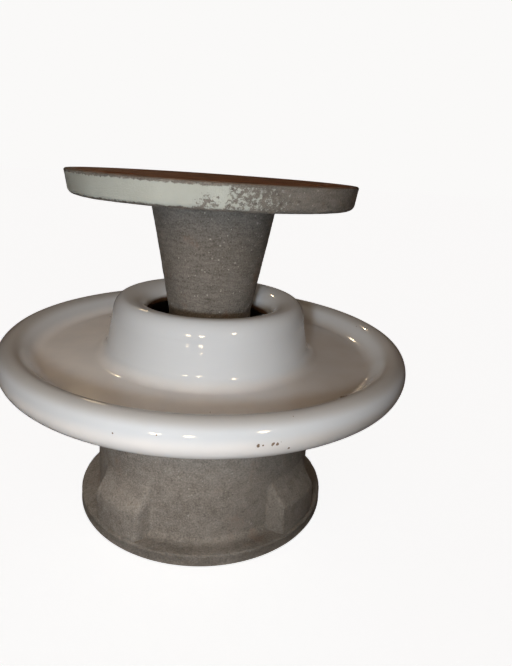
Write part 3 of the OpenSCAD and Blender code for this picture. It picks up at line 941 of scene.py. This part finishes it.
def granular(name, first, second, grain, rough, depth):
    """A solid pressed or set from grains: each grain of the given size in mm has its own tone between the
    two colours, and stands up by depth mm. Rough is the roughness of the smoothest and the dullest grain."""
    material, tree, where, _ = start_finish(name)
    cell = add(tree, "TexVoronoi", {"Vector": where, "Scale": per_metre(grain)})
    pick = add(tree, "SeparateColor", {0: cell["Color"]})
    cloud = add(tree, "TexNoise", {"Vector": where, "Scale": per_metre(paste_w), "Detail": 5.0})[0]
    tone = add(tree, "Math", {0: pick[0], 1: cloud}, operation="MULTIPLY")[0]
    tone = add(tree, "MapRange", {0: tone, 1: 0.05, 2: 0.5})[0]
    base = add(tree, "Mix", {0: tone, 6: colour(first), 7: colour(second)}, **PAINT)[2]
    gloss = add(tree, "MapRange", {0: pick[1], 3: rough[0], 4: rough[1]})[0]
    return end_finish(material, tree, base, gloss, cell["Distance"], depth)


def brushed_bitumen():
    """Black tar: brush ridges round the axis, and a dull gloss that varies along them."""
    material, tree, where, _ = start_finish("brushed_bitumen")
    along = add(tree, "Mapping", {0: where, 3: (1, 1, brush_drag)}, vector_type="POINT")[0]
    ridge = add(tree, "TexNoise", {"Vector": along, "Scale": per_metre(brush_w), "Detail": 4.0})[0]
    base = add(tree, "Mix", {0: ridge, 6: colour("14110F"), 7: colour("2A2521")}, **PAINT)[2]
    rough = add(tree, "MapRange", {0: ridge, 1: 0.3, 2: 0.7, 3: 0.35, 4: 0.6})[0]
    return end_finish(material, tree, base, rough, ridge, 0.4)


cement = granular("portland_cement", "3E3A35", "757069", 0.9, (0.75, 0.95), 0.25)
cork = granular("pressed_cork", "5A3B22", "A9794A", 2.2, (0.7, 0.9), 0.3)
grit = granular("fused_grit", "B8B3AA", "E2DFD9", 1.6, (0.15, 0.5), 0.6)
bitumen = brushed_bitumen()
FINISHES = {"cap_cement": cement, "pin_cement": cement, "cap_bitumen_coat": bitumen,
            "pin_bitumen_coat": bitumen, "head_cushion": cork, "pin_end_cushion": cork,
            "head_sand_band": grit, "pin_hole_sand_band": grit}
for node, finish in FINISHES.items():
    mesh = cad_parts[node].data
    mesh.materials.clear()
    mesh.materials.append(finish)
print(len(FINISHES), "CAD nodes have their finish")

# %% [markdown]
# ## Camera
# The object is seen from a little above its middle and close by, so the far side of each ring looks much
# narrower than the near side. The camera leans a few degrees. Its place is given as a distance from the
# axis, a height above the floor, and a turn about the axis; then it is aimed by three angles.

# %% The camera
view_distance, view_height, view_turn = 283.8, 197.5, -4.5
aim_right, aim_down, lean = 10.09, 18.3, 4.04
sensor_w, focal_length = 36, 27.2919


def place_camera():
    """Stands the camera in front of the object, turned by view_turn about the axis. It looks along +Y, is
    turned right and tilted down, and then rolled about its own line of sight."""
    lens = bpy.data.cameras.new("camera")
    lens.sensor_width = sensor_w
    lens.lens = focal_length
    lens.clip_start = 10 * MM
    lens.clip_end = 50
    camera = bpy.data.objects.new("camera", lens)
    bpy.context.scene.collection.objects.link(camera)
    turn = math.radians(view_turn)
    camera.location = (view_distance * math.sin(turn) * MM, -view_distance * math.cos(turn) * MM,
                       view_height * MM)
    turned_right = Matrix.Rotation(-math.radians(aim_right), 3, "Z")
    tilted_down = Matrix.Rotation(math.radians(90 - aim_down), 3, "X")
    rolled = Matrix.Rotation(math.radians(lean), 3, "Z")
    camera.rotation_euler = (turned_right @ tilted_down @ rolled).to_euler()
    bpy.context.scene.camera = camera
    return camera


camera = place_camera()
print("camera at", [round(v, 3) for v in camera.location])

# %% [markdown]
# ## Light and floor
# Two lamps close in front give nearly all the light: a small cool one, low, and a larger warm one above it.
# White glaze shows them plainly: its front is bright and bluish, its dish, which the higher lamp reaches
# best, is darker and warmer, and its sides fall off fast, because the lamps are near. So the room is dim
# and warm, and two soft lamps far behind only lift the back.
# The glaze doesn't mirror these lamps. It mirrors four small ones instead, which count only in reflections.
# In this way the brightness and the points of light are set one apart from the other.
# The floor and the backdrop are plain and pale. They lend the object no light, and the lamps light only the
# pieces, so the floor shows hardly any shadow.

# %% The room's light
BRIGHT_SIDE = (-0.15, -0.97, 0.18)
room_power, front_power = 0.28, 0.2


def sky():
    """Tint and strength by direction: by the dot product with the bright side they go from warm brown, at
    0.5 and less, to white, at 1. What the camera sees directly is plain and pale."""
    world = bpy.data.worlds.new("room")
    bpy.context.scene.world = world
    world.use_nodes = True
    tree = world.node_tree
    tree.nodes.clear()
    way = add(tree, "TexCoord")["Generated"]
    facing = add(tree, "VectorMath", {0: way, 1: BRIGHT_SIDE}, operation="DOT_PRODUCT")["Value"]
    share = add(tree, "MapRange", {0: facing, 1: 0.5, 2: 1.0}, **SOFT)[0]
    tint = add(tree, "Mix", {0: share, 6: colour("6A5546"), 7: colour("FAFBFF")}, **PAINT)[2]
    power = add(tree, "MapRange", {0: share, 3: room_power, 4: front_power})[0]
    room = add(tree, "Background", {"Color": tint, "Strength": power})[0]
    plain = add(tree, "Background", {"Color": colour("FAF9F8"), "Strength": 1.0})[0]
    seen = add(tree, "LightPath")["Is Camera Ray"]
    surface = add(tree, "MixShader", {0: seen, 1: room, 2: plain})[0]
    add(tree, "OutputWorld", {"Surface": surface})
    print(f"room: {len(tree.nodes)} nodes")


sky()

# %% Lamps
middle_h = 0.1
lit = bpy.data.collections.new("lit_pieces")
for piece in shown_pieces():
    lit.objects.link(piece)


def lamp(name, azimuth, elevation, distance, size, watts, code, mirrored):
    """A round area light aimed at the object's middle, with distance and size in metres. Azimuth 0 is
    straight in front, and 90 is at the right. Mirrored says whether the glaze shows it."""
    light = bpy.data.lights.new(name, "AREA")
    light.shape, light.size, light.energy = "DISK", size, watts
    light.color = colour(code)[:3]
    item = bpy.data.objects.new(name, light)
    bpy.context.scene.collection.objects.link(item)
    a, e = math.radians(azimuth), math.radians(elevation)
    out = Vector((math.sin(a) * math.cos(e), -math.cos(a) * math.cos(e), math.sin(e)))
    item.location = Vector((0, 0, middle_h)) + out * distance
    item.rotation_euler = out.to_track_quat("Z", "Y").to_euler()
    item.visible_camera = False
    item.visible_glossy = mirrored
    item.light_linking.receiver_collection = lit
    return item


lamp("key_cool", -11, 12, 0.36, 0.03, 0.64, "E6F3FF", False)
lamp("key_warm", -12, 24, 0.42, 0.16, 0.46, "FFDDB4", False)
lamp("fill_back_left", -158, 12, 1.2, 0.8, 4.8, "FFF3E6", False)
lamp("fill_back_right", 150, 12, 1.2, 0.8, 4.2, "FFEBD8", False)

# %% Small lamps for the points of light
# Azimuth, elevation and watts. A lamp's width goes with the root of its watts, so all look equally bright
SMALL_LAMPS = [(-27, 7, 2.0), (-12, 7, 2.0), (24, 20, 2.4), (-166, 32, 0.8)]
for number, (azimuth, elevation, watts) in enumerate(SMALL_LAMPS):
    width = 0.1 * math.sqrt(watts)
    spark = lamp(f"small_lamp_{number}", azimuth, elevation, 1.5, width, watts, "FFE2B8", True)
    spark.visible_diffuse = False

# %% The floor
half = 6.0
floor_corners = [(-half, -half, 0), (half, -half, 0), (half, half, 0), (-half, half, 0)]
floor_mesh = bpy.data.meshes.new("floor")
floor_mesh.from_pydata(floor_corners, [], [(0, 1, 2, 3)])
floor = bpy.data.objects.new("floor", floor_mesh)
bpy.context.scene.collection.objects.link(floor)
floor.visible_glossy = False
floor.visible_diffuse = False
paper = bpy.data.materials.new("pale_paper")
paper.use_nodes = True
paper.node_tree.nodes.clear()
# The sheet glows about as brightly as the backdrop, so hardly any edge shows between them
sheet = {"Base Color": colour("F2F1EF"), "Roughness": 0.95, "Emission Color": colour("FFFFFF"),
         "Emission Strength": 0.9}
sheet = add(paper.node_tree, "BsdfPrincipled", sheet)[0]
add(paper.node_tree, "OutputMaterial", {"Surface": sheet})
floor_mesh.materials.append(paper)
bpy.context.scene.view_settings.view_transform = "Standard"
print("floor is", 2 * half, "m wide")
